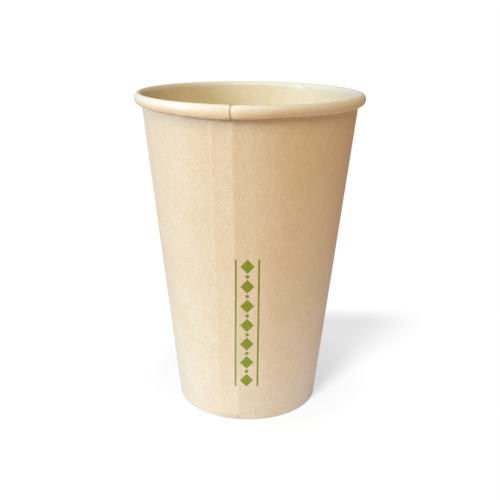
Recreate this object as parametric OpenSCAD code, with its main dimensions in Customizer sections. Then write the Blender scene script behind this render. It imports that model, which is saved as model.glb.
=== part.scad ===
// Single-wall paper cup. The side wall is one sheet of board, rolled into a cone, lapped down one
// side, curled outward at the rim and folded up inside the foot. The fold grips the skirt of a
// flanged base disc. A thin film lines the inside face of each board, and so also coats the curl.
// Millimetres, +Z up, origin at the centre of the foot, on the table.

/* [Cup] */
// Diameter over the rim curl
rim_d = 90; // [80:0.5:110]
// Height from the table to the top of the rim
cup_h = 128; // [90:1:180]
// Diameter of the wall at the table
foot_d = 58; // [46:0.5:70]

/* [Board and lining] */
// Thickness of the side wall's board
wall_t = 0.4; // [0.3:0.05:0.55]
// Thickness of the base disc's board
base_t = 0.4; // [0.3:0.05:0.6]
// Thickness of the lining film
film_t = 0.05; // [0.03:0.01:0.1]

/* [Rim curl] */
// Width of the curl, from the inside of the cup to its outer side
curl_w = 3.1; // [2.8:0.1:4.5]
// Height of the curl
curl_h = 4.6; // [4:0.1:7]
// Radius of the curl's rounded top and bottom
curl_end_r = 1.2; // [1.1:0.05:1.35]
// Gap between the wall and the curl's tucked edge
curl_gap = 0.05; // [0:0.01:0.15]
// Turn of the tucked edge past the wall, in degrees
curl_tuck = 60; // [10:5:100]

/* [Side seam] */
// Direction of the inner flap's edge from +X, in degrees
seam_angle = 261.6; // [0:0.1:360]
// Width of the overlap, at half the cup's height
lap_w = 7.4; // [5:0.1:12]
// Run over which the sheet climbs to lie on the inner flap, at the foot of the lap
climb_w = 3.5; // [2:0.5:4.5]
// Gap between the inner flap and the film that seals onto it
seal_gap = 0.01; // [0.005:0.005:0.03]
// Gap between the foot of the lap and the table
lap_lift = 0.8; // [0.6:0.1:3]
// Width of the notch that the inner flap's edge leaves across the curl
notch_w = 0.35; // [0.2:0.05:0.6]
// Depth of that notch in the curl's board
notch_depth = 0.25; // [0.1:0.05:0.28]

/* [Foot] */
// Height of the base disc's underside above the table
recess_h = 9; // [8:0.5:14]
// Height of the hem folded up inside the foot
hem_h = 7; // [4:0.5:7.5]
// Inner radius of each corner of the hem's fold
fold_r = 0.05; // [0.02:0.01:0.12]
// Gap between the skirt's edge and the inside of the fold
skirt_gap = 0.2; // [0.05:0.05:0.5]
// Radius of the base disc's edge, where it turns down into the skirt
base_edge_r = 1; // [0.75:0.05:1.5]

/* [Hidden] */
$fn = 128;
arc_step = 12; // degrees between points along an arc

board_colour = [0.86, 0.75, 0.60];
film_colour = [0.90, 0.81, 0.66];

// The curl's outline is an oval of four arcs: two ends of curl_end_r and two flatter sides
half_w = curl_w / 2;
half_h = curl_h / 2;
curl_r = rim_d / 2 - half_w;
curl_z = cup_h - half_h;
curl_foot_z = cup_h - curl_h;
end_rise = half_h - curl_end_r;
side_r = (half_w ^ 2 + half_h ^ 2 - 2 * half_h * curl_end_r) / (2 * (half_w - curl_end_r));
side_shift = side_r - half_w;
arc_join = atan2(end_rise, side_shift);

// The wall's lean, from a line that is tangent to the curl's inner side and meets the table at foot_d
sheet_t = wall_t + film_t;
lean_x = curl_r + side_shift - foot_d / 2;
lean = acos((side_r - sheet_t) / norm([lean_x, curl_z])) - atan2(curl_z, lean_x);
out = [cos(lean), -sin(lean)];

// Distances from the origin along the wall's outward normal
outer_face = out * [foot_d / 2, 0];
film_face = outer_face - sheet_t;
hem_face = film_face - base_t - film_t;

// The tucked edge lies against the outside of the wall
tuck_r = (out * [curl_r, curl_foot_z] - outer_face - curl_gap) / (1 + sin(lean));

// The lap, in a frame with the inner flap's edge at 0 degrees. The outer flap is lifted by one sheet.
// It climbs there along a flat that faces climb_turn. At the foot of the lap the flat is a chord: from
// its own middle it leaves the wall's circle at leave_y and reaches the lifted circle at reach_y, just
// over the inner flap's edge. Higher up it reaches the lifted cone before that edge.
lift = sheet_t;
lap_foot_z = lap_lift;
lap_top_z = curl_foot_z;
lap_turn = turn(lap_w, on_wall((lap_foot_z + lap_top_z) / 2).x);
low_r = on_wall(lap_foot_z).x;
low_lift = lift / cos(lean);
climb_sum = low_lift * (2 * low_r + low_lift) / climb_w;
leave_y = (climb_sum - climb_w) / 2;
reach_y = (climb_sum + climb_w) / 2;
climb_turn = asin(reach_y / (low_r + low_lift));
climb_face = film_face - (low_r - sqrt(low_r ^ 2 - leave_y ^ 2)) * cos(lean);
notch_turn = turn(notch_w, rim_d / 2);

// How far a cutting block reaches past what it cuts
margin = 1;

// A point on the line at that distance along the wall's normal
function on_line(distance, z) = [(distance + z * sin(lean)) / cos(lean), z];
function on_wall(z) = on_line(film_face, z);

// The angle of a stretch of a circle, in degrees
function turn(length, r) = length / r * 180 / PI;

// A station is a point of the film's face and the direction into the board behind it
function bearing(angle) = [cos(angle), sin(angle)];
function arc(centre, r, from, to, side) =
    let (steps = max(2, ceil(abs(to - from) / arc_step)))
    [for (i = [0 : steps]) let (dir = bearing(from + (to - from) * i / steps)) [centre + r * dir, side * dir]];

// The folded hem, from its top edge down and round the fold
hem_path = concat(
    [[on_line(hem_face, hem_h), -out]],
    arc(on_line(hem_face + fold_r, sheet_t + fold_r), fold_r, 180 - lean, 270, 1),
    arc(on_line(film_face - fold_r, sheet_t + fold_r), fold_r, -90, -lean, 1)
);

// The curl, from the top of the straight wall to the bottom of the roll
roll_path = concat(
    arc([curl_r + side_shift, curl_z], side_r, 180 - lean, 180 - arc_join, -1),
    arc([curl_r, curl_z + end_rise], curl_end_r, 180 - arc_join, arc_join, -1),
    arc([curl_r - side_shift, curl_z], side_r, arc_join, -arc_join, -1),
    arc([curl_r, curl_z - end_rise], curl_end_r, -arc_join, -90, -1)
);
tuck_path = arc([curl_r, curl_foot_z + tuck_r], tuck_r, -90, -180 - curl_tuck, -1);
sheet_path = concat(hem_path, roll_path, tuck_path);

// The base disc's upper face, over its edge and down the outside of the skirt
base_top_z = recess_h + base_t + film_t;
base_path = concat(
    [[[0, base_top_z], [0, -1]]],
    arc(on_line(film_face - base_edge_r, base_top_z - base_edge_r), base_edge_r, 90, -lean, -1),
    [[on_wall(sheet_t + skirt_gap), -out]]
);

// A layer of a revolved sheet, between two depths behind its film face
module layer(path, from, to, start = 0, sweep = 360) {
    last = len(path) - 1;
    rotate_extrude(start = start, angle = sweep)
        polygon(concat(
            [for (s = path) s[0] + from * s[1]],
            [for (i = [last : -1 : 0]) path[i][0] + to * path[i][1]]
        ));
}

// The cone inside the sheet up to a depth behind its film face, past both ends of the lap
module cone(depth) {
    rotate_extrude()
        polygon([
            [0, lap_foot_z - margin],
            on_line(film_face + depth, lap_foot_z - margin),
            on_line(film_face + depth, lap_top_z + margin),
            [0, lap_top_z + margin]
        ]);
}

// The space behind the flat of the climb, up to a depth behind its film face
module behind_flat(depth) {
    rotate([0, lean, climb_turn])
        translate([climb_face + depth - rim_d, -rim_d / 2, -cup_h])
            cube([rim_d, rim_d, 3 * cup_h]);
}

// The wedge of space from the outer flap's edge to an angle right of the inner flap's edge, reaching
// past the flap's edge and both ends of the lap
module wedge(to_angle, past) {
    from_angle = -lap_turn - turn(past, low_r);
    rotate_extrude(start = from_angle, angle = to_angle - from_angle)
        translate([0, lap_foot_z - past])
            square([rim_d / 2, lap_top_z - lap_foot_z + 2 * past]);
}

// All that lies inside the climb and the lifted flap, up to a depth behind their film face
module under_flap(depth, past) {
    intersection() {
        cone(lift + depth);
        behind_flat(depth);
        wedge(climb_turn, past);
    }
}

// The lapped sheet: closed at the curl and the hem, and climbing over its own edge in between.
// The inner flap's layer is thinner by the seal gap, which keeps it clear of the layer above it.
module lapped(from, to) {
    difference() {
        union() {
            layer(sheet_path, from, to);
            difference() {
                under_flap(to, 0);
                cone((from + to) / 2);
            }
        }
        difference() {
            under_flap(from, seal_gap);
            intersection() {
                cone(to - seal_gap);
                wedge(0, 2 * seal_gap);
            }
        }
    }
}

// The groove across the curl where the inner flap's edge ends
module curl_notch() {
    layer(roll_path, -margin, film_t + notch_depth, 0, notch_turn);
}

module side_wall() {
    color(board_colour)
        rotate([0, 0, seam_angle])
            difference() {
                lapped(film_t, sheet_t);
                curl_notch();
            }
}

module wall_lining() {
    color(film_colour)
        rotate([0, 0, seam_angle])
            difference() {
                lapped(0, film_t);
                curl_notch();
            }
}

module base_disc() {
    color(board_colour)
        layer(base_path, film_t, film_t + base_t);
}

module base_lining() {
    color(film_colour)
        layer(base_path, 0, film_t);
}

side_wall();
wall_lining();
base_disc();
base_lining();
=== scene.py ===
"""A tall single-wall paper cup of unbleached board, on a white table, seen from a little above."""

import math

import bmesh
import bpy
import numpy as np
from mathutils import Matrix, Vector


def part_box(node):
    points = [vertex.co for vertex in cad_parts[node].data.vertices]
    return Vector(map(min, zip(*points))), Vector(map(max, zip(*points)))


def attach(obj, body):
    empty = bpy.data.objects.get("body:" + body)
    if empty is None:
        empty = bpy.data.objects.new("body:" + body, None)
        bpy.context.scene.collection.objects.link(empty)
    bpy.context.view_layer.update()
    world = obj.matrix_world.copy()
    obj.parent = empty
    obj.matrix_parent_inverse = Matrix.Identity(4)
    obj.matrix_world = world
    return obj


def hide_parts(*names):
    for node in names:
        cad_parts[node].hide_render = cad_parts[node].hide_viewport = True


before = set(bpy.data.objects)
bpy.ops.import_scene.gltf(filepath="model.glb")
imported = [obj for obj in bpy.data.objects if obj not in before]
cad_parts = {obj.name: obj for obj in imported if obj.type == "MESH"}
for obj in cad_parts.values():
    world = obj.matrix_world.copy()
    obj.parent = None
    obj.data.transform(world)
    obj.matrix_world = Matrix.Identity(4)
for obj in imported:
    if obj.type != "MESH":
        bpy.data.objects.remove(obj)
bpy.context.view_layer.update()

# Sizes in metres, and the curl's tuck in degrees. The rim and the height come from the frame, the rest
# repeats the part's own sizes.
MM = 0.001
lining_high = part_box("wall_lining")[1]
RIM_R = lining_high[0]
CUP_H = lining_high[2]
FOOT_R = 29 * MM
BOARD = 0.4 * MM
FILM = 0.05 * MM
SHEET = BOARD + FILM
CURL_W = 3.1 * MM
CURL_H = 4.6 * MM
CURL_END_R = 1.2 * MM
CURL_GAP = 0.05 * MM
CURL_TUCK = 60
RECESS_H = 9 * MM
HEM_H = 7 * MM
FOLD_R = 0.05 * MM
SKIRT_GAP = 0.2 * MM
BASE_EDGE_R = 1 * MM

# The lap: its middle as a bearing from +X, half its width, the wall's radius at half its height, and the
# run of the climb beside it, on the wall and on the curl. The climb starts level and eases in.
LAP_BEARING = math.radians(256.0)
LAP_HALF = 3.9 * MM
LAP_MID_R = 36 * MM
CLIMB_RUN = 5.7 * MM
CURL_CLIMB = 4.0 * MM
CLIMB_LEVEL = 0.05
CLIMB_EASE = 0.0015

# The outer flap's foot above the table, its pared edge, and the gap between the hem's ends
FLAP_FOOT = 1.5 * MM
FLAP_EDGE_W = 0.5 * MM
FLAP_EDGE_DROP = 0.16 * MM
HEM_BUTT = 0.15 * MM

# Density of the meshes: rows along straight stretches, and degrees between the rows along arcs
HEM_ROWS = 12
WALL_ROWS = 72
BASE_ROWS = 24
SKIRT_ROWS = 6
FOLD_STEP = 18
CURL_SIDE_STEP = 5
CURL_END_STEP = 12
TUCK_STEP = 15
BASE_EDGE_STEP = 8

# Columns round the cup: radians between them on the wall's board and on its film, and the base's number
FINE_TURN = 0.0115
COARSE_TURN = 0.018
BASE_COLUMNS = 361

# Columns near the lap: how far they reach from it in radians, and their spacing as a share of the usual
# one, beside the lap and in the climb
NEAR_LAP = 0.3
BESIDE_LAP = 0.7
IN_CLIMB = 0.6

# Columns next to each flap's edge: how far they reach from it and how far apart they are, in radians
INNER_EDGE = 0.04
INNER_EDGE_TURN = 0.003
OUTER_EDGE = 0.016
OUTER_EDGE_TURN = 0.004

# Outline of the curl: an oval of two end arcs and two flatter sides
half_w = CURL_W / 2
half_h = CURL_H / 2
curl_r = RIM_R - half_w
curl_z = CUP_H - half_h
curl_foot_z = CUP_H - CURL_H
end_rise = half_h - CURL_END_R
side_r = (half_w**2 + half_h**2 - 2 * half_h * CURL_END_R) / (2 * (half_w - CURL_END_R))
side_shift = side_r - half_w
arc_join = math.degrees(math.atan2(end_rise, side_shift))

# Lean of the wall, and distances from the origin along its outward normal
lean_x = curl_r + side_shift - FOOT_R
lean = math.acos((side_r - SHEET) / math.hypot(lean_x, curl_z)) - math.atan2(curl_z, lean_x)
lean_deg = math.degrees(lean)
out = np.array([math.cos(lean), -math.sin(lean)])
outer_face = out[0] * FOOT_R
film_face = outer_face - SHEET
hem_face = film_face - BOARD - FILM
tuck_r = (out @ [curl_r, curl_foot_z] - outer_face - CURL_GAP) / (1 + math.sin(lean))


def on_line(distance, z):
    """The point at a height on the line at that distance along the wall's normal."""
    return np.array([(distance + z * math.sin(lean)) / math.cos(lean), z])


def smooth_step(low, high, value):
    """0 before low, 1 past high and a smooth rise between them, also where high is the lesser."""
    share = np.clip((value - low) / (high - low), 0, 1)
    return share * share * (3 - 2 * share)


def arc(centre, radius, start, stop, side, step):
    """Stations along an arc: points of the film's face and the directions into the board behind it."""
    count = max(2, math.ceil(abs(stop - start) / step))
    angle = np.radians(np.linspace(start, stop, count + 1))
    direction = np.stack([np.cos(angle), np.sin(angle)], axis=1)
    return np.asarray(centre) + radius * direction, side * direction


def straight(start, stop, direction, count):
    """Stations along a straight stretch, without its two ends."""
    share = np.linspace(0, 1, count + 2)[1:-1, None]
    points = (1 - share) * np.asarray(start) + share * np.asarray(stop)
    return points, np.tile(direction, (count, 1))


def join(stretches):
    """One path from several stretches, with the number of the stretch at each station."""
    points = np.concatenate([stretch[0] for stretch in stretches])
    directions = np.concatenate([stretch[1] for stretch in stretches])
    zones = np.concatenate([np.full(len(stretch[0]), i) for i, stretch in enumerate(stretches)])
    return points, directions, zones


# The side wall's path, from the top edge of the hem, round the fold, up the wall and round the curl
HEM, INNER_FOLD, OUTER_FOLD, WALL, CURL_IN, CURL_TOP, CURL_OUT, CURL_FOOT, TUCK = range(9)
inner_fold = arc(on_line(hem_face + FOLD_R, SHEET + FOLD_R), FOLD_R, 180 - lean_deg, 270, 1, FOLD_STEP)
outer_fold = arc(on_line(film_face - FOLD_R, SHEET + FOLD_R), FOLD_R, -90, -lean_deg, 1, FOLD_STEP)
curl_in = arc([curl_r + side_shift, curl_z], side_r, 180 - lean_deg, 180 - arc_join, -1, CURL_SIDE_STEP)
curl_top = arc([curl_r, curl_z + end_rise], CURL_END_R, 180 - arc_join, arc_join, -1, CURL_END_STEP)
curl_out = arc([curl_r - side_shift, curl_z], side_r, arc_join, -arc_join, -1, CURL_SIDE_STEP)
curl_foot = arc([curl_r, curl_z - end_rise], CURL_END_R, -arc_join, -90, -1, CURL_END_STEP)
tuck = arc([curl_r, curl_foot_z + tuck_r], tuck_r, -90, -180 - CURL_TUCK, -1, TUCK_STEP)
hem_top = on_line(hem_face, HEM_H)
hem = straight(hem_top + [0, HEM_H / HEM_ROWS], inner_fold[0][0], -out, HEM_ROWS)
wall = straight(outer_fold[0][-1], curl_in[0][0], out, WALL_ROWS)
later_arcs = [(part[0][1:], part[1][1:]) for part in (curl_top, curl_out, curl_foot, tuck)]
sheet_path = join([hem, inner_fold, outer_fold, wall, curl_in, *later_arcs])

# The base disc's path: across its upper face, over its edge and down the outside of its skirt
FLAT, EDGE, SKIRT = range(3)
base_top_z = RECESS_H + BOARD + FILM
base_edge_centre = on_line(film_face - BASE_EDGE_R, base_top_z - BASE_EDGE_R)
base_edge = arc(base_edge_centre, BASE_EDGE_R, 90, -lean_deg, -1, BASE_EDGE_STEP)
base_flat_r = base_edge[0][0][0]
base_middle = np.array([0, base_top_z])
base_flat = straight(base_middle - [base_flat_r / BASE_ROWS, 0], base_edge[0][0], [0, -1], BASE_ROWS)
base_flat[0][0] = base_middle
skirt_end = on_line(film_face, SHEET + SKIRT_GAP)
skirt_past = (skirt_end - base_edge[0][-1]) / SKIRT_ROWS
base_skirt = straight(base_edge[0][-1], skirt_end + skirt_past, -out, SKIRT_ROWS)
base_path = join([base_flat, base_edge, base_skirt])


def waves(angle, terms):
    """A sum of waves round the cup, each given as its count, height and phase."""
    return sum(height * np.cos(count * angle + phase) for count, height, phase in terms)


# Unevenness. Waves have heights in millimetres. The board ripples slowly, and the ripples wind up the wall
# by a twist in radians a metre.
WALL_RIPPLES = [(5, 0.020, 0.3), (9, 0.014, 2.1), (16, 0.010, 4.0), (27, 0.008, 1.2), (41, 0.006, 5.1)]
RIPPLE_TWIST = 6

# The curl's lower edge is uneven and a little skew. It hangs lowest at the lap, and droops outward.
CURL_RIPPLES = [(7, 0.030, 1.0), (19, 0.035, 2.6), (26, 0.030, 0.4), (37, 0.030, 3.9), (52, 0.022, 5.5)]
CURL_LIFT = 0.3 * MM
CURL_SWELL = 0.75 * MM
CURL_SWELL_BEARING = math.radians(262)
CURL_SWELL_LEFT = math.radians(26)
CURL_SWELL_RIGHT = math.radians(12)
CURL_SKEW = 0.2 * MM
CURL_SKEW_BEARING = math.radians(225)
DROOP_OUT = 0.3

# A knurl is pressed into the hem. The base sags in the middle and is pleated near its edge.
KNURL_COUNT = 104
KNURL_HEIGHT = 0.07 * MM
BASE_PLEATS = [(23, 0.020, 0.7), (41, 0.022, 2.9), (67, 0.018, 4.4), (88, 0.014, 1.5)]
BASE_PLEAT_RUN = 4 * MM
BASE_SAG = 0.35 * MM

# Bands of height over which a form comes in, from the table up
LIFT_BAND = (0.4 * MM, 1.6 * MM)
FLAT_BAND = (2 * MM, 10 * MM)
RIPPLE_BAND = (10 * MM, 30 * MM)
KNURL_BAND = (0.8 * MM, 1.6 * MM)

# Bands at the top of a form, from the hem's edge for the knurl and from the curl's foot for the others
KNURL_TOP_BAND = (-0.6 * MM, -1.4 * MM)
FLAT_TOP_BAND = (1 * MM, -3 * MM)
RIPPLE_TOP_BAND = (-1 * MM, -12 * MM)
CURL_CLIMB_BAND = (-4 * MM, 1 * MM)


def lap_edge(radius):
    """Bearing of the inner flap's edge, which runs at a constant distance from the middle of the lap."""
    return LAP_BEARING + np.arcsin(LAP_HALF / radius)


def lap_sink(angle, radius):
    """How far the sheet lies inside its round at a bearing: the lap is pressed flat, as a chord."""
    half = np.arcsin(LAP_HALF / radius)
    off = np.clip(angle - LAP_BEARING, -half, half)
    return radius * (1 - np.cos(half) / np.cos(off))


def climb_share(gap, run):
    """How far the sheet is lifted at a distance right of the inner flap's edge, as a share of the lift."""
    share = gap / run - CLIMB_LEVEL
    eased = (share + np.sqrt(share * share + CLIMB_EASE)) / 2
    return np.clip(1 - eased, 0, 1) ** 2


def curl_drop(angle):
    """How much lower the curl's foot hangs at a bearing: it is thickest where both flaps are rolled in."""
    off = np.angle(np.exp(1j * (angle - CURL_SWELL_BEARING)))
    off = off / np.where(off < 0, CURL_SWELL_LEFT, CURL_SWELL_RIGHT)
    swell = CURL_SWELL * np.exp(-off * off / 2)
    skew = CURL_SKEW * (np.cos(angle - CURL_SKEW_BEARING) - 1)
    return swell + skew - CURL_LIFT + waves(angle, CURL_RIPPLES) * MM


def sheet_columns(spacing):
    """Angles right of the inner flap's edge, round the cup and on to the outer flap's own edge."""
    full = 2 * math.pi
    lap_turn = 2 * math.asin(LAP_HALF / LAP_MID_R)
    stretches = [
        (full, full - NEAR_LAP, spacing * BESIDE_LAP),
        (full - NEAR_LAP, NEAR_LAP, spacing),
        (NEAR_LAP, INNER_EDGE, spacing * IN_CLIMB),
        (INNER_EDGE, 0, INNER_EDGE_TURN),
        (0, OUTER_EDGE - lap_turn, spacing * BESIDE_LAP),
        (OUTER_EDGE - lap_turn, -lap_turn, OUTER_EDGE_TURN),
    ]
    pieces = []
    for start, stop, turn in stretches:
        count = math.ceil((start - stop) / turn)
        pieces.append(np.linspace(start, stop, count, endpoint=False))
    return np.concatenate([*pieces, [-lap_turn]])


def sheet_points(columns, depth):
    """Points of the rolled sheet at a depth behind its film face, one row for each station of its path."""
    points, directions, zones = sheet_path
    radius = points[:, :1]
    height = points[:, 1:]
    from_curl = height - curl_foot_z
    zone = zones[:, None]
    on_wall = zone == WALL

    # Bearings: past the inner flap's edge they keep the lap equally wide all the way up
    lap_ratio = np.arcsin(LAP_HALF / radius) / math.asin(LAP_HALF / LAP_MID_R)
    turn = np.where(columns >= 0, columns, columns * lap_ratio)
    angle = lap_edge(radius) + turn
    bearing = np.where(turn > math.pi, angle - 2 * math.pi, angle)

    # The climb onto the inner flap, and the flat of the lap
    in_curl = smooth_step(*CURL_CLIMB_BAND, from_curl) * (zone >= WALL)
    run = CLIMB_RUN + (CURL_CLIMB - CLIMB_RUN) * np.maximum(in_curl, zone > WALL)
    lift = SHEET * smooth_step(*LIFT_BAND, height) * (zone >= WALL)
    rise = lift * climb_share(turn * radius, run)
    level = smooth_step(*FLAT_BAND, height) * smooth_step(*FLAT_TOP_BAND, from_curl) * on_wall
    sink = lap_sink(bearing, radius) * level

    # Ripples of the wall, the knurl in the hem and the pared edge of the outer flap
    free = smooth_step(*RIPPLE_BAND, height) * smooth_step(*RIPPLE_TOP_BAND, from_curl)
    ripple = waves(angle + RIPPLE_TWIST * height, WALL_RIPPLES) * MM * free * on_wall
    pressed = smooth_step(*KNURL_BAND, height) * smooth_step(*KNURL_TOP_BAND, height - HEM_H)
    knurl = KNURL_HEIGHT * (0.5 + 0.5 * np.cos(KNURL_COUNT * angle)) * pressed * (zone == HEM)
    flap_gap = (turn - columns[-1] * lap_ratio) * radius
    pared = FLAP_EDGE_DROP * (1 - smooth_step(0, FLAP_EDGE_W, flap_gap)) * (depth > FILM) * on_wall

    # The curl's outer side droops
    droop = curl_drop(angle) * smooth_step(0, CURL_H, CUP_H - height) * (zone > CURL_IN)
    offset = depth + rise + ripple + knurl - pared - sink
    r = radius + offset * directions[:, :1] + DROOP_OUT * droop
    z = height + offset * directions[:, 1:] - droop
    return np.stack([r * np.cos(angle), r * np.sin(angle), z], axis=2)


def sheet_mask(columns):
    """The cells of the sheet that are kept: the lap's corners are cut away inside the hem and the curl."""
    points, _, zones = sheet_path
    zone = zones[1:, None]
    height = ((points[:-1, 1] + points[1:, 1]) / 2)[:, None]
    middle = (columns[:-1] + columns[1:]) / 2
    flap = middle < HEM_BUTT / FOOT_R
    under = middle > 2 * math.pi - 2 * LAP_HALF / RIM_R
    low = (zone < WALL) | ((zone == WALL) & (height < FLAP_FOOT))
    return ~((flap & low) | (flap & (zone >= CURL_FOOT)) | (under & (zone == TUCK)))


def base_points(columns, depth):
    """Points of the base disc at a depth behind its film face, one row for each station of its path."""
    points, directions, zones = base_path
    radius = points[:, :1]
    height = points[:, 1:]
    zone = zones[:, None]
    sag = BASE_SAG * (1 - smooth_step(0, base_flat_r, radius)) * (zone == FLAT)
    creased = smooth_step(base_flat_r - BASE_PLEAT_RUN, base_flat_r, radius) * (zone == FLAT)
    creased = creased + smooth_step(base_top_z - BASE_EDGE_R, base_top_z, height) * (zone == EDGE)
    offset = depth + np.abs(waves(columns[None, :], BASE_PLEATS)) * MM * creased
    r = radius + offset * directions[:, :1]
    z = height + offset * directions[:, 1:] - sag
    return np.stack([r * np.cos(columns), r * np.sin(columns), z], axis=2)


def shell(front, back, keep=None, bared=0, revolved=False):
    """Points, faces and sides of a closed shell between two grids: 0 in front, 1 behind, 2 round the rim.

    The bared columns at the end of the grid count as the rim on the side behind. A revolved grid goes all
    round from its axis, so it has a rim only along its last row.
    """
    rows, cols = front.shape[:2]
    if keep is None:
        keep = np.ones((rows - 1, cols - 1), bool)
    index = np.arange(rows * cols).reshape(rows, cols)
    behind = index + rows * cols
    corners = (index[:-1, :-1], index[:-1, 1:], index[1:, 1:], index[1:, :-1])
    front_faces = np.stack([corner[keep] for corner in corners], axis=1)
    back_faces = front_faces[:, ::-1] + rows * cols
    padded = np.pad(keep, 1)
    across = padded[1:-1, :-1] != padded[1:-1, 1:]
    along = padded[:-1, 1:-1] != padded[1:, 1:-1]
    if revolved:
        across[:, [0, -1]] = False
        along[0] = False
    across_corners = (index[:-1], index[1:], behind[1:], behind[:-1])
    across_faces = np.stack([corner[across] for corner in across_corners], axis=1)
    along_corners = (index[:, :-1], index[:, 1:], behind[:, 1:], behind[:, :-1])
    along_faces = np.stack([corner[along] for corner in along_corners], axis=1)
    faces = np.concatenate([front_faces, back_faces, across_faces, along_faces])
    column = np.broadcast_to(np.arange(cols - 1), keep.shape)[keep]
    back_sides = np.where(column >= cols - 1 - bared, 2, 1)
    rim_count = len(across_faces) + len(along_faces)
    sides = np.concatenate([np.zeros(len(front_faces), int), back_sides, np.full(rim_count, 2)])
    points = np.concatenate([front.reshape(-1, 3), back.reshape(-1, 3)])
    return points, faces, sides


WELD_GAP = 0.001 * MM
SHARP_ANGLE = math.radians(40)


def make_piece(name, shells, materials):
    """A smooth mesh object from closed shells, with a material for each side of them."""
    points = []
    faces = []
    sides = []
    start = 0
    for shell_points, shell_faces, shell_sides in shells:
        points.append(shell_points)
        faces.append(shell_faces + start)
        sides.append(shell_sides)
        start += len(shell_points)
    mesh = bpy.data.meshes.new(name)
    mesh.from_pydata(np.concatenate(points).tolist(), [], np.concatenate(faces).tolist())
    for material in materials:
        mesh.materials.append(material)
    mesh.polygons.foreach_set("material_index", np.concatenate(sides).astype(np.int32))
    work = bmesh.new()
    work.from_mesh(mesh)
    bmesh.ops.remove_doubles(work, verts=work.verts, dist=WELD_GAP)
    bmesh.ops.delete(work, geom=[vert for vert in work.verts if not vert.link_faces], context="VERTS")
    bmesh.ops.recalc_face_normals(work, faces=work.faces)
    for face in work.faces:
        face.smooth = True
    work.to_mesh(mesh)
    work.free()
    mesh.set_sharp_from_angle(angle=SHARP_ANGLE)
    piece = bpy.data.objects.new(name, mesh)
    bpy.context.scene.collection.objects.link(piece)
    return piece


class Shader:
    """A material's node tree, with short calls for the nodes that these materials share."""

    def __init__(self, name):
        self.material = bpy.data.materials.new(name)
        self.material.use_nodes = True
        self.nodes = self.material.node_tree.nodes
        self.links = self.material.node_tree.links
        self.surface = self.nodes["Principled BSDF"]
        self.place = self.nodes.new("ShaderNodeTexCoord").outputs["Object"]

    def put(self, source, target):
        """Links an output to a socket, or sets the socket to a plain value."""
        if isinstance(source, bpy.types.NodeSocket):
            self.links.new(source, target)
        else:
            target.default_value = source

    def stretched(self, scale):
        """The place in the object, scaled along each axis."""
        node = self.nodes.new("ShaderNodeVectorMath")
        node.operation = "MULTIPLY"
        self.put(self.place, node.inputs[0])
        node.inputs[1].default_value = scale
        return node.outputs["Vector"]

    def from_axis(self):
        """The distance from the cup's axis."""
        node = self.nodes.new("ShaderNodeVectorMath")
        node.operation = "LENGTH"
        self.put(self.stretched((1, 1, 0)), node.inputs[0])
        return node.outputs["Value"]

    def height(self):
        """The height above the table."""
        node = self.nodes.new("ShaderNodeSeparateXYZ")
        self.put(self.place, node.inputs[0])
        return node.outputs["Z"]

    def noise(self, size, detail=2.0, rough=0.5, place=None):
        """Noise with features of about that size in metres."""
        node = self.nodes.new("ShaderNodeTexNoise")
        self.put(place or self.place, node.inputs["Vector"])
        node.inputs["Scale"].default_value = 1 / size
        node.inputs["Detail"].default_value = detail
        node.inputs["Roughness"].default_value = rough
        return node.outputs["Fac"]

    def spread(self, value, low, high, to_low=0.0, to_high=1.0):
        """A value mapped from one range to another, and held at its ends."""
        node = self.nodes.new("ShaderNodeMapRange")
        node.interpolation_type = "SMOOTHSTEP"
        self.put(value, node.inputs["Value"])
        node.inputs["From Min"].default_value = low
        node.inputs["From Max"].default_value = high
        node.inputs["To Min"].default_value = to_low
        node.inputs["To Max"].default_value = to_high
        return node.outputs["Result"]

    def math(self, operation, first, second):
        """Two values put together."""
        node = self.nodes.new("ShaderNodeMath")
        node.operation = operation
        self.put(first, node.inputs[0])
        self.put(second, node.inputs[1])
        return node.outputs["Value"]

    def mix(self, share, first, second, most=None):
        """Two colours mixed by a share of the second, scaled to the most that it may reach."""
        if most is not None:
            share = self.math("MULTIPLY", share, most)
        node = self.nodes.new("ShaderNodeMix")
        node.data_type = "RGBA"
        self.put(share, node.inputs["Factor"])
        self.put(first, node.inputs[6])
        self.put(second, node.inputs[7])
        return node.outputs[2]

    def bump(self, height, distance, strength):
        """Fine relief on the surface."""
        node = self.nodes.new("ShaderNodeBump")
        self.put(height, node.inputs["Height"])
        node.inputs["Distance"].default_value = distance
        node.inputs["Strength"].default_value = strength
        self.links.new(node.outputs["Normal"], self.surface.inputs["Normal"])

    def finish(self, colour, roughness, specular):
        """Sets the surface's main values."""
        self.put(colour, self.surface.inputs["Base Color"])
        self.put(roughness, self.surface.inputs["Roughness"])
        self.surface.inputs["Specular IOR Level"].default_value = specular
        return self.material


def grey(value):
    """A neutral colour."""
    return (value, value, value, 1)


# Colours of the board, its lining and the print, as linear values. The curl's two tones are painted light,
# and the cut edge's tone holds a painted highlight.
BOARD_TONE = (0.805, 0.655, 0.450, 1)
BOARD_DARK = (0.660, 0.505, 0.315, 1)
BOARD_PALE = (0.840, 0.735, 0.570, 1)
BOARD_SPECK = (0.270, 0.170, 0.085, 1)
FILM_TONE = (0.780, 0.670, 0.448, 1)
FILM_DARK = (0.680, 0.560, 0.350, 1)
FILM_PALE = (0.830, 0.745, 0.555, 1)
# Painted warm bounce light on the curl's outer side; the film there is the same as inside
PAINTED_WARM_BOUNCE = (0.875, 0.655, 0.410, 1)
# Painted light from above on the curl's crest, paler and cooler than the film
PAINTED_TOP_LIGHT = (0.715, 0.720, 0.675, 1)
# The cut edge: the board's paler core and a painted highlight
EDGE_CORE_AND_HIGHLIGHT = (0.820, 0.730, 0.530, 1)
EDGE_DARK = (0.660, 0.540, 0.340, 1)
INK_TONE = (0.225, 0.280, 0.004, 1)
INK_THIN = (0.330, 0.360, 0.040, 1)

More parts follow.
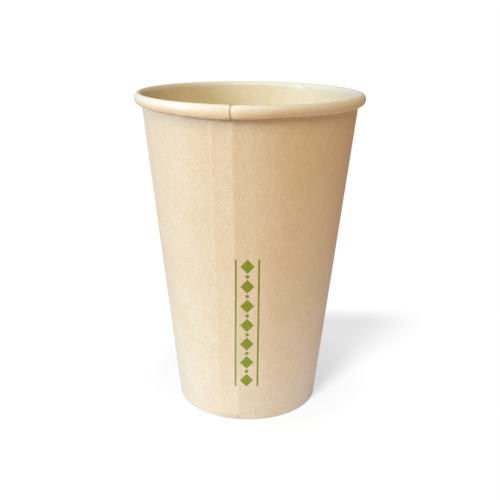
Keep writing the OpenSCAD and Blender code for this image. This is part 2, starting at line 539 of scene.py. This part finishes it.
# Bands of a noise's values over which each kind of mark comes in
PATCH_BAND = (0.35, 0.65)
GRAIN_BAND = (0.3, 0.7)
FIBRE_BAND = (0.56, 0.72)
SPECK_BAND = (0.785, 0.82)
WEAR_BAND = (0.5, 0.75)
INK_PATCH_BAND = (0.4, 0.7)

# On the curl's outer side a painted warm bounce light comes in over a run of its radius, and on its crest
# a painted light from above comes in between two heights
WARM_BOUNCE_RUN = 1.0 * MM
TOP_LIGHT_FROM = CUP_H - CURL_H * 0.7
TOP_LIGHT_TO = CUP_H - CURL_H * 0.3

# Fibres run up the wall, so their noise is drawn out along the height
ALONG_WALL = (1, 1, 0.25)


def board_material(name):
    """Matt unbleached board: clouds, fine grain, lengthwise fibres and a few dark specks."""
    shader = Shader(name)
    clouds = shader.spread(shader.noise(14 * MM, detail=3), *PATCH_BAND)
    mottle = shader.spread(shader.noise(2.6 * MM, detail=3, rough=0.6), *PATCH_BAND)
    grain = shader.spread(shader.noise(0.55 * MM), *GRAIN_BAND)
    fibres = shader.noise(0.45 * MM, detail=3, rough=0.6, place=shader.stretched(ALONG_WALL))
    pale_fibres = shader.spread(fibres, *FIBRE_BAND, to_high=0.22)
    specks = shader.spread(shader.noise(1.5 * MM, detail=1), *SPECK_BAND)
    tone = shader.mix(clouds, BOARD_TONE, BOARD_PALE, most=0.30)
    tone = shader.mix(mottle, tone, BOARD_DARK, most=0.22)
    tone = shader.mix(grain, tone, BOARD_DARK, most=0.38)
    tone = shader.mix(pale_fibres, tone, BOARD_PALE)
    tone = shader.mix(specks, tone, BOARD_SPECK, most=0.7)
    relief = shader.math("ADD", grain, shader.math("MULTIPLY", fibres, 0.15))
    shader.bump(relief, distance=0.065 * MM, strength=1.0)
    roughness = shader.spread(grain, 0, 1, to_low=0.78, to_high=0.92)
    return shader.finish(tone, roughness, specular=0.3)


def film_material(name):
    """Board seen through its clear satin lining, with a painted warm bounce light on the curl's outer side
    and a painted light from above on its crest.
    """
    shader = Shader(name)
    clouds = shader.spread(shader.noise(11 * MM, detail=3), *PATCH_BAND)
    mottle = shader.spread(shader.noise(2.2 * MM, detail=3, rough=0.6), *PATCH_BAND)
    grain = shader.spread(shader.noise(0.7 * MM, detail=3, rough=0.6), *GRAIN_BAND)
    # The curl's outer side is tinted as a painted warm bounce light
    rolled = shader.spread(shader.from_axis(), curl_r - WARM_BOUNCE_RUN, curl_r, to_high=0.85)
    # The curl's crest is paled as a painted light from above
    crest = shader.spread(shader.height(), TOP_LIGHT_FROM, TOP_LIGHT_TO, to_high=0.85)
    tone = shader.mix(clouds, FILM_TONE, FILM_PALE, most=0.35)
    tone = shader.mix(rolled, tone, PAINTED_WARM_BOUNCE)
    tone = shader.mix(crest, tone, PAINTED_TOP_LIGHT)
    tone = shader.mix(mottle, tone, FILM_DARK, most=0.25)
    tone = shader.mix(grain, tone, FILM_DARK, most=0.25)
    shader.bump(shader.math("ADD", grain, mottle), distance=0.03 * MM, strength=0.5)
    roughness = shader.spread(mottle, 0, 1, to_low=0.46, to_high=0.58)
    return shader.finish(tone, roughness, specular=0.45)


def edge_material(name):
    """The cut edge of the board: its paler core, made paler still as a painted highlight."""
    shader = Shader(name)
    grain = shader.spread(shader.noise(0.3 * MM, detail=3, rough=0.6), *GRAIN_BAND)
    tone = shader.mix(grain, EDGE_CORE_AND_HIGHLIGHT, EDGE_DARK)
    shader.bump(grain, distance=0.05 * MM, strength=0.4)
    return shader.finish(tone, roughness=0.9, specular=0.2)


def ink_material(name):
    """Print that has sunk unevenly into the board."""
    shader = Shader(name)
    wear = shader.spread(shader.noise(0.5 * MM, detail=4, rough=0.65), *WEAR_BAND, to_high=0.6)
    clouds = shader.spread(shader.noise(5 * MM), *INK_PATCH_BAND, to_high=0.25)
    tone = shader.mix(shader.math("MAXIMUM", wear, clouds), INK_TONE, INK_THIN)
    shader.bump(wear, distance=0.03 * MM, strength=0.25)
    roughness = shader.spread(wear, 0, 1, to_low=0.6, to_high=0.8)
    return shader.finish(tone, roughness, specular=0.35)


wall_board = board_material("wall_board_paper")
base_board = board_material("base_board_paper")
lining = film_material("lining_satin")
cut_edge = edge_material("cut_edge_paper")
ink = ink_material("print_ink")


def sheet_shell(columns, front, back, bared=0):
    """The rolled sheet between two depths behind its film face."""
    return shell(sheet_points(columns, front), sheet_points(columns, back), sheet_mask(columns), bared)


def base_shell(front, back):
    """The base disc between two depths behind its film face."""
    columns = np.linspace(0, 2 * math.pi, BASE_COLUMNS)
    return shell(base_points(columns, front), base_points(columns, back), revolved=True)


# The four pieces. The last columns of the side wall show the board's cut edge, with its painted highlight.
EDGE_COLUMNS = 2
wall_shell = sheet_shell(sheet_columns(FINE_TURN), FILM, SHEET, EDGE_COLUMNS)
side_wall = make_piece("cup_side_wall", [wall_shell], [wall_board, wall_board, cut_edge])
lining_shell = sheet_shell(sheet_columns(COARSE_TURN), 0, FILM)
wall_lining = make_piece("cup_wall_lining", [lining_shell], [lining, lining, lining])
base_disc = make_piece("cup_base_disc", [base_shell(FILM, SHEET)], [base_board, base_board, cut_edge])
base_lining = make_piece("cup_base_lining", [base_shell(0, FILM)], [lining, lining, lining])

# The print: a column of lozenges with dots between them, and a thin line down each side
PRINT_BEARING = math.radians(269.5)
PRINT_FOOT = 16 * MM
PRINT_PITCH = 8.2 * MM
LOZENGE_COUNT = 7
LOZENGE_HALF_W = 2.6 * MM
LOZENGE_HALF_H = 2.9 * MM
DOT_R = 0.75 * MM
LINE_OUT = 4.3 * MM
LINE_HALF_W = 0.35 * MM
INK_T = 0.02 * MM

# Points along each side of a lozenge and a dot, and across and along a line
LOZENGE_GRID = 10
DOT_GRID = 7
LINE_GRID_W = 3
LINE_GRID_H = 90


def printed(across, up, depth):
    """Points on the outside of the wall, by a distance from the print's middle line and a height."""
    radius = (outer_face + up * math.sin(lean)) / math.cos(lean)
    angle = PRINT_BEARING + across / radius
    gap = (angle - lap_edge(radius)) * radius
    ripple = waves(angle + RIPPLE_TWIST * up, WALL_RIPPLES) * MM * smooth_step(*RIPPLE_BAND, up)
    offset = depth + SHEET * climb_share(gap, CLIMB_RUN) + ripple - lap_sink(angle, radius)
    r = radius + offset * out[0]
    z = up + offset * out[1]
    return np.stack([r * np.cos(angle), r * np.sin(angle), z], axis=2)


def patch(across, up):
    """A thin closed patch of ink over a grid of places on the wall."""
    return shell(printed(across, up, INK_T), printed(across, up, -INK_T))


def unit_grid(count_u, count_v):
    """A grid over the square from -1 to 1."""
    return np.meshgrid(np.linspace(-1, 1, count_u), np.linspace(-1, 1, count_v))


def lozenge(middle_z):
    """A lozenge of ink, from a square grid turned onto its corner."""
    u, v = unit_grid(LOZENGE_GRID, LOZENGE_GRID)
    return patch(LOZENGE_HALF_W * (u - v) / 2, middle_z + LOZENGE_HALF_H * (u + v) / 2)


def dot(middle_z):
    """A round dot of ink, from a square grid drawn in to a disc."""
    u, v = unit_grid(DOT_GRID, DOT_GRID)
    return patch(DOT_R * u * np.sqrt(1 - v * v / 2), middle_z + DOT_R * v * np.sqrt(1 - u * u / 2))


def side_line(side):
    """A thin line of ink down one side of the print."""
    u, v = unit_grid(LINE_GRID_W, LINE_GRID_H)
    print_height = 2 * LOZENGE_HALF_H + (LOZENGE_COUNT - 1) * PRINT_PITCH
    return patch(side * LINE_OUT + LINE_HALF_W * u, PRINT_FOOT + print_height * (v + 1) / 2)


lowest_z = PRINT_FOOT + LOZENGE_HALF_H
patches = [lozenge(lowest_z + i * PRINT_PITCH) for i in range(LOZENGE_COUNT)]
patches += [dot(lowest_z + (i + 0.5) * PRINT_PITCH) for i in range(LOZENGE_COUNT - 1)]
patches += [side_line(side) for side in (-1, 1)]
print_column = make_piece("cup_print_column", patches, [ink, ink, ink])

for piece, node in (
    (side_wall, "side_wall"),
    (wall_lining, "wall_lining"),
    (base_disc, "base_disc"),
    (base_lining, "base_lining"),
):
    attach(piece, "root")
    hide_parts(node)
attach(print_column, "root")

# The white table. To the camera it glows and takes the rest from its suns, so that it is white and keeps a
# soft shadow. Behind the cup it fades to plain white, between two places on +Y.
FLOOR_HALF = 3.0
FLOOR_GLOW = (0.602, 0.631, 0.646, 1)
FLOOR_TAKE = 0.24
LIT_FROM = 0.0745
LIT_TO = 0.092

# The light that it throws back on the cup is cool near the cup, and warm and weaker further off
FLOOR_NEAR = (0.525, 0.63, 0.85, 1)
FLOOR_FAR = (0.335, 0.228, 0.103, 1)
NEAR_R = 0.08
FAR_R = 0.19


def camera_choice(nodes, links, seen, otherwise, end):
    """Gives the camera one shader, and all other rays another."""
    path = nodes.new("ShaderNodeLightPath")
    choose = nodes.new("ShaderNodeMixShader")
    links.new(path.outputs["Is Camera Ray"], choose.inputs["Fac"])
    links.new(otherwise.outputs[0], choose.inputs[1])
    links.new(seen.outputs[0], choose.inputs[2])
    links.new(choose.outputs[0], end.inputs["Surface"])


def fade(nodes, links, value, low, high):
    """A share that goes from 0 to 1 as a value goes from low to high."""
    node = nodes.new("ShaderNodeMapRange")
    node.inputs["From Min"].default_value = low
    node.inputs["From Max"].default_value = high
    links.new(value, node.inputs["Value"])
    return node.outputs["Result"]


def table_material(name):
    """The table's white, and the light that it throws back."""
    material = bpy.data.materials.new(name)
    material.use_nodes = True
    nodes = material.node_tree.nodes
    links = material.node_tree.links
    nodes.clear()
    place = nodes.new("ShaderNodeTexCoord").outputs["Object"]

    glow = nodes.new("ShaderNodeEmission")
    glow.inputs["Color"].default_value = FLOOR_GLOW
    take = nodes.new("ShaderNodeBsdfDiffuse")
    take.inputs["Color"].default_value = grey(FLOOR_TAKE)
    shaded = nodes.new("ShaderNodeAddShader")
    links.new(glow.outputs[0], shaded.inputs[0])
    links.new(take.outputs[0], shaded.inputs[1])
    lit = nodes.new("ShaderNodeEmission")
    lit.inputs["Strength"].default_value = 1.0
    axes = nodes.new("ShaderNodeSeparateXYZ")
    links.new(place, axes.inputs[0])
    seen = nodes.new("ShaderNodeMixShader")
    links.new(fade(nodes, links, axes.outputs["Y"], LIT_FROM, LIT_TO), seen.inputs["Fac"])
    links.new(shaded.outputs[0], seen.inputs[1])
    links.new(lit.outputs[0], seen.inputs[2])

    away = nodes.new("ShaderNodeVectorMath")
    away.operation = "LENGTH"
    links.new(place, away.inputs[0])
    bounce = nodes.new("ShaderNodeMix")
    bounce.data_type = "RGBA"
    bounce.inputs[6].default_value = FLOOR_NEAR
    bounce.inputs[7].default_value = FLOOR_FAR
    links.new(fade(nodes, links, away.outputs["Value"], NEAR_R, FAR_R), bounce.inputs["Factor"])
    plain = nodes.new("ShaderNodeBsdfDiffuse")
    links.new(bounce.outputs[2], plain.inputs["Color"])

    camera_choice(nodes, links, seen, plain, nodes.new("ShaderNodeOutputMaterial"))
    return material


floor_mesh = bpy.data.meshes.new("table_top")
floor_corners = [(-1, -1), (1, -1), (1, 1), (-1, 1)]
floor_mesh.from_pydata([(x * FLOOR_HALF, y * FLOOR_HALF, 0) for x, y in floor_corners], [], [(0, 1, 2, 3)])
floor_mesh.materials.append(table_material("table_white"))
floor = bpy.data.objects.new("table_top", floor_mesh)
bpy.context.scene.collection.objects.link(floor)

# Soft light from all round, which the camera sees as plain white
AMBIENT_TONE = (1.0, 0.51, 0.255, 1)
AMBIENT_LEVEL = 0.245


def white_room(name):
    """A world that lights the scene softly and looks white."""
    world = bpy.data.worlds.new(name)
    world.use_nodes = True
    nodes = world.node_tree.nodes
    links = world.node_tree.links
    nodes.clear()
    around = nodes.new("ShaderNodeBackground")
    around.inputs["Color"].default_value = AMBIENT_TONE
    around.inputs["Strength"].default_value = AMBIENT_LEVEL
    behind = nodes.new("ShaderNodeBackground")
    behind.inputs["Color"].default_value = grey(1)
    behind.inputs["Strength"].default_value = 1.0
    camera_choice(nodes, links, behind, around, nodes.new("ShaderNodeOutputWorld"))
    return world


bpy.context.scene.world = white_room("white_room")

# Lights: a panel and a soft sun for the cup, and two suns for the table, one for the cup's shadow and one
# for the shade round its foot. They stand at a distance from a point in the cup.
AIM = Vector((0, 0, 0.08))
LIGHT_AWAY = 0.55
PANEL_SIZE = 0.2
cup_group = bpy.data.collections.new("lit_cup")
for piece in (side_wall, wall_lining, base_disc, base_lining, print_column):
    cup_group.objects.link(piece)
table_group = bpy.data.collections.new("lit_table")
table_group.objects.link(floor)


def light(name, kind, bearing, height, strength, tone, receivers):
    """A light from a bearing and a height in degrees, which lights only the objects of one group."""
    flat = math.cos(math.radians(height))
    way = Vector((
        flat * math.cos(math.radians(bearing)),
        flat * math.sin(math.radians(bearing)),
        math.sin(math.radians(height)),
    ))
    lamp = bpy.data.lights.new(name, kind)
    lamp.energy = strength
    lamp.color = tone
    holder = bpy.data.objects.new(name, lamp)
    holder.location = AIM + LIGHT_AWAY * way
    holder.rotation_euler = way.to_track_quat("Z", "Y").to_euler()
    holder.light_linking.receiver_collection = receivers
    bpy.context.scene.collection.objects.link(holder)
    return lamp


KEY_TONE = (0.475, 0.71, 1.0)
FILL_TONE = (1.0, 0.955, 0.715)
WHITE = (1, 1, 1)
key_panel = light(
    "key_panel", "AREA", bearing=205, height=22, strength=2.80, tone=KEY_TONE, receivers=cup_group
)
key_panel.shape = "DISK"
key_panel.size = PANEL_SIZE
for name, bearing, height, spread, strength, tone, receivers in (
    ("fill_sun", 262, 54, 40, 2.30, FILL_TONE, cup_group),
    ("table_sun", 247, 53, 13, 4.05, WHITE, table_group),
    ("halo_sun", 268, 87, 18, 1.35, WHITE, table_group),
):
    soft_sun = light(name, "SUN", bearing, height, strength, tone, receivers)
    soft_sun.angle = math.radians(spread)

# The camera, from the photograph's perspective: its place, its lens and sensor in millimetres, the nearest
# that it sees, and its turns in radians
CAMERA_PLACE = Vector((0, -0.29785, 0.15871))
CAMERA_LENS = 54.03
CAMERA_SENSOR = 36
CAMERA_NEAR = 0.01
CAMERA_PITCH = 0.311
CAMERA_ROLL = 0.011
CAMERA_YAW = 0.002
ahead_level = Vector((math.sin(CAMERA_YAW), math.cos(CAMERA_YAW), 0))
right_level = Vector((math.cos(CAMERA_YAW), -math.sin(CAMERA_YAW), 0))
upright = Vector((0, 0, 1))
up_level = math.sin(CAMERA_PITCH) * ahead_level + math.cos(CAMERA_PITCH) * upright
ahead = math.cos(CAMERA_PITCH) * ahead_level - math.sin(CAMERA_PITCH) * upright
right = math.cos(CAMERA_ROLL) * right_level + math.sin(CAMERA_ROLL) * up_level
up = math.cos(CAMERA_ROLL) * up_level - math.sin(CAMERA_ROLL) * right_level
camera_data = bpy.data.cameras.new("photo_camera")
camera_data.lens = CAMERA_LENS
camera_data.sensor_width = CAMERA_SENSOR
camera_data.clip_start = CAMERA_NEAR
camera = bpy.data.objects.new("photo_camera", camera_data)
camera.matrix_world = Matrix.Translation(CAMERA_PLACE) @ Matrix((right, up, -ahead)).transposed().to_4x4()
bpy.context.scene.collection.objects.link(camera)
bpy.context.scene.camera = camera
bpy.context.scene.view_settings.view_transform = "Standard"
